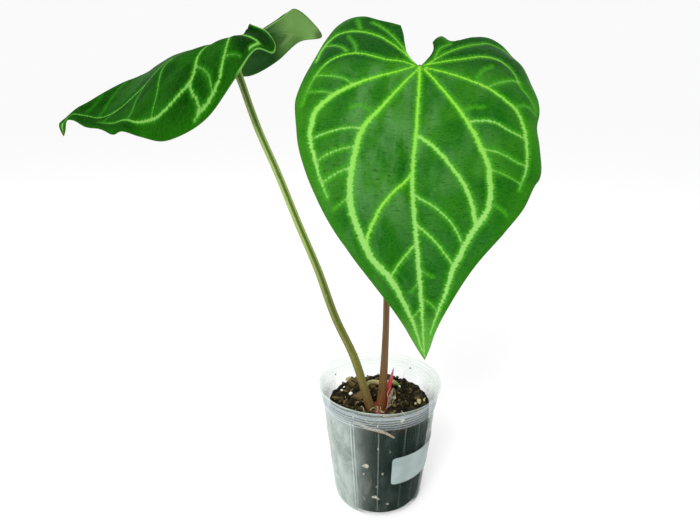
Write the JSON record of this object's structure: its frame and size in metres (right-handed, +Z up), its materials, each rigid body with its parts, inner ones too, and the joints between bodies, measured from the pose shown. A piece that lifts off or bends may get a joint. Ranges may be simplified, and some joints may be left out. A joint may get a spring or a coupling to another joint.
{
  "type": "potted anthurium magnificum",
  "caption": "Potted aroid with large heart-shaped, pale-veined leaves on long petioles, in a clear tapered nursery pot of bark mix with a blank label.",
  "frame": {"origin": "middle of the pot's flat base, on the surface it stands on", "axes": "+Z up; +Y away from the front, where the large leaf's face and the label are; +X to the viewer's right"},
  "size_m": [0.3081, 0.1728, 0.3684],
  "materials": {
    "clear_plastic": "clear, slightly milky polypropylene",
    "label_paper": "white, matt",
    "potting_mix": "coarse dark bark mix with white perlite",
    "stem_brown": "matt, ringed",
    "petiole_brown": "satin, brown to red at the foot",
    "petiole_green": "satin, yellow-green to olive brown at the foot",
    "leaf": "velvety dark green with pale green veins, paler below",
    "shoot": "smooth, pink-red",
    "dry_bract": "papery, pale tan",
    "root": "matt, tan to green"
  },
  "bodies": {
    "root": {"pot": "clear_plastic", "label": "label_paper", "soil": "potting_mix", "stem_base": "stem_brown", "petiole_large": "petiole_brown", "petiole_left": "petiole_green", "leaf_large": "leaf", "leaf_left": "leaf", "new_shoot": "shoot", "cataphyll": "dry_bract", "aerial_root": "root", "wall_root": "root"}
  },
  "joints": []
}
